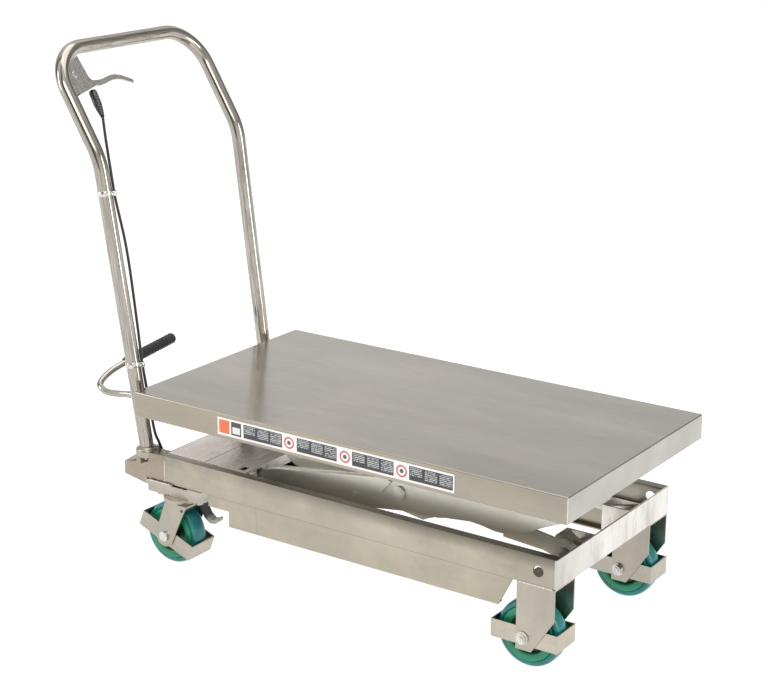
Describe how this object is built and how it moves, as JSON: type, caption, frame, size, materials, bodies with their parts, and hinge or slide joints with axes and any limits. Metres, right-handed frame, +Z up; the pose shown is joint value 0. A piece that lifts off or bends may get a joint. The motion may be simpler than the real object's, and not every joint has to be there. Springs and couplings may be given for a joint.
{
  "type": "scissor lift table",
  "caption": "Stainless steel hydraulic scissor lift table on wheels, with a flanged deck, push handle with release lever, foot pump pedal and braked swivel casters.",
  "frame": {"origin": "on the floor below the middle of the deck", "axes": "+X towards the free end (the handle is at -X), +Y towards the far side, +Z up"},
  "size_m": [1.2047, 0.5169, 1.0118],
  "materials": {
    "brushed_sheet": "satin",
    "frame_steel": "satin",
    "polished_tube": "polished",
    "machined_steel": "satin",
    "zinc_fasteners": "bright",
    "green_hub": "gloss",
    "teal_tread": "gloss",
    "black_rubber": "matte",
    "dark_pedal": "satin",
    "label_film": "gloss"
  },
  "bodies": {
    "base": {"rail_near": "frame_steel", "rail_far": "frame_steel", "front_end_plate": "brushed_sheet", "rear_end_plate": "frame_steel", "handle_socket_near": "frame_steel", "handle_socket_far": "frame_steel", "handle_loop": "polished_tube", "lever_bracket": "polished_tube", "cable_boot": "black_rubber", "release_cable": "black_rubber", "pump_cover": "brushed_sheet", "pump_unit": "machined_steel", "pump_tray": "machined_steel", "cylinder_cross_member": "machined_steel", "skirt_near": "frame_steel", "skirt_far": "frame_steel", "base_pivot_bracket_near": "frame_steel", "base_pivot_bracket_far": "frame_steel", "rigid_fork_near": "frame_steel", "rigid_fork_far": "frame_steel", "rigid_guard_near": "frame_steel", "rigid_guard_far": "frame_steel", "rigid_axle_near": "zinc_fasteners", "rigid_axle_far": "zinc_fasteners", "swivel_mount_near": "frame_steel", "swivel_mount_far": "frame_steel"},
    "inner_arms": {"inner_arm_frame": "machined_steel"},
    "outer_arms": {"outer_arm_near": "frame_steel", "outer_arm_far": "frame_steel"},
    "platform": {"deck_pan": "brushed_sheet", "deck_subframe": "machined_steel", "deck_pivot_shaft": "zinc_fasteners", "label_strip": "label_film"},
    "cylinder_barrel_body": {"cylinder_barrel": "machined_steel"},
    "cylinder_rod_body": {"cylinder_rod": "polished_tube"},
    "foot_pedal": {"pedal_rod": "polished_tube", "pedal_grip": "black_rubber"},
    "plunger": {"pump_plunger": "polished_tube"},
    "lever": {"release_lever": "polished_tube"},
    "base_roller_body_near": {"base_roller_near": "zinc_fasteners"},
    "deck_roller_body_near": {"deck_roller_near": "zinc_fasteners"},
    "rigid_wheel_near": {"hub_rigid_near": "green_hub", "tread_rigid_near": "teal_tread"},
    "swivel_caster_near": {"swivel_fork_near": "zinc_fasteners", "swivel_guard_near": "frame_steel", "swivel_axle_near": "zinc_fasteners"},
    "swivel_wheel_near": {"hub_swivel_near": "green_hub", "tread_swivel_near": "teal_tread"},
    "brake_near": {"brake_pedal_near": "dark_pedal"},
    "base_roller_body_far": {"base_roller_far": "zinc_fasteners"},
    "deck_roller_body_far": {"deck_roller_far": "zinc_fasteners"},
    "rigid_wheel_far": {"hub_rigid_far": "green_hub", "tread_rigid_far": "teal_tread"},
    "swivel_caster_far": {"swivel_fork_far": "zinc_fasteners", "swivel_guard_far": "frame_steel", "swivel_axle_far": "zinc_fasteners"},
    "swivel_wheel_far": {"hub_swivel_far": "green_hub", "tread_swivel_far": "teal_tread"},
    "brake_far": {"brake_pedal_far": "dark_pedal"}
  },
  "joints": [
    {"name": "lift", "type": "hinge", "parent": "base", "child": "inner_arms", "pos_m": [0.4028, 0, 0.1965], "axis": [0, 1, 0], "range_deg": [0, 40]},
    {"name": "arm_centre_pivot", "type": "hinge", "parent": "inner_arms", "child": "outer_arms", "pos_m": [0.0712, 0, 0.246], "axis": [0, 1, 0], "range_deg": [-80.5, 0]},
    {"name": "deck_pivot", "type": "hinge", "parent": "outer_arms", "child": "platform", "pos_m": [0.4028, 0, 0.2955], "axis": [0, 1, 0], "range_deg": [0, 40.5]},
    {"name": "cylinder_swing", "type": "hinge", "parent": "base", "child": "cylinder_barrel_body", "pos_m": [-0.15, 0, 0.15], "axis": [0, -1, 0], "range_deg": [0, 11]},
    {"name": "cylinder_stroke", "type": "slide", "parent": "cylinder_barrel_body", "child": "cylinder_rod_body", "axis": [0.9802, 0, 0.1979], "range_m": [0, 0.082]},
    {"name": "pedal_pivot", "type": "hinge", "parent": "base", "child": "foot_pedal", "pos_m": [-0.42, 0, 0.292], "axis": [0, -1, 0], "range_deg": [0, 20], "stiffness_Nm_per_rad": 4, "springref_deg": -34.38},
    {"name": "plunger_stroke", "type": "slide", "parent": "base", "child": "plunger", "axis": [0, 0, -1], "range_m": [0, 0.0072]},
    {"name": "release_lever_pivot", "type": "hinge", "parent": "base", "child": "lever", "pos_m": [-0.68214, -0.17, 0.95129], "axis": [0.8525, 0, 0.5228], "range_deg": [0, 16], "stiffness_Nm_per_rad": 1, "springref_deg": -22.92},
    {"name": "base_roller_spin_near", "type": "hinge", "parent": "outer_arms", "child": "base_roller_body_near", "pos_m": [-0.2604, -0.1965, 0.1965], "axis": [0, 1, 0], "continuous": true},
    {"name": "deck_roller_spin_near", "type": "hinge", "parent": "inner_arms", "child": "deck_roller_body_near", "pos_m": [-0.2604, -0.129, 0.2955], "axis": [0, 1, 0], "continuous": true},
    {"name": "rigid_wheel_spin_near", "type": "hinge", "parent": "base", "child": "rigid_wheel_near", "pos_m": [0.3755, -0.1792, 0.0635], "axis": [0, 1, 0], "continuous": true},
    {"name": "caster_swivel_near", "type": "hinge", "parent": "base", "child": "swivel_caster_near", "pos_m": [-0.418, -0.1934, 0.13], "axis": [0, 0, 1], "continuous": true},
    {"name": "swivel_wheel_spin_near", "type": "hinge", "parent": "swivel_caster_near", "child": "swivel_wheel_near", "pos_m": [-0.438, -0.1934, 0.0635], "axis": [0, 1, 0], "continuous": true},
    {"name": "brake_pedal_pivot_near", "type": "hinge", "parent": "swivel_caster_near", "child": "brake_near", "pos_m": [-0.391, -0.1934, 0.127], "axis": [0, 1, 0], "range_deg": [0, 10], "stiffness_Nm_per_rad": 0.6, "springref_deg": -17.19},
    {"name": "base_roller_spin_far", "type": "hinge", "parent": "outer_arms", "child": "base_roller_body_far", "pos_m": [-0.2604, 0.1965, 0.1965], "axis": [0, 1, 0], "continuous": true},
    {"name": "deck_roller_spin_far", "type": "hinge", "parent": "inner_arms", "child": "deck_roller_body_far", "pos_m": [-0.2604, 0.129, 0.2955], "axis": [0, 1, 0], "continuous": true},
    {"name": "rigid_wheel_spin_far", "type": "hinge", "parent": "base", "child": "rigid_wheel_far", "pos_m": [0.3755, 0.1792, 0.0635], "axis": [0, 1, 0], "continuous": true},
    {"name": "caster_swivel_far", "type": "hinge", "parent": "base", "child": "swivel_caster_far", "pos_m": [-0.418, 0.1934, 0.13], "axis": [0, 0, 1], "continuous": true},
    {"name": "swivel_wheel_spin_far", "type": "hinge", "parent": "swivel_caster_far", "child": "swivel_wheel_far", "pos_m": [-0.438, 0.1934, 0.0635], "axis": [0, 1, 0], "continuous": true},
    {"name": "brake_pedal_pivot_far", "type": "hinge", "parent": "swivel_caster_far", "child": "brake_far", "pos_m": [-0.391, 0.1934, 0.127], "axis": [0, 1, 0], "range_deg": [0, 10], "stiffness_Nm_per_rad": 0.6, "springref_deg": -17.19}
  ],
  "couplings": [
    {"joint": "arm_centre_pivot", "follows": "lift", "ratio": -2},
    {"joint": "deck_pivot", "follows": "lift", "ratio": 1},
    {"joint": "cylinder_swing", "follows": "lift", "ratio": 0.26961},
    {"joint": "cylinder_stroke", "follows": "lift", "m_per_rad": 0.11635},
    {"joint": "plunger_stroke", "follows": "pedal_pivot", "m_per_rad": 0.02}
  ]
}
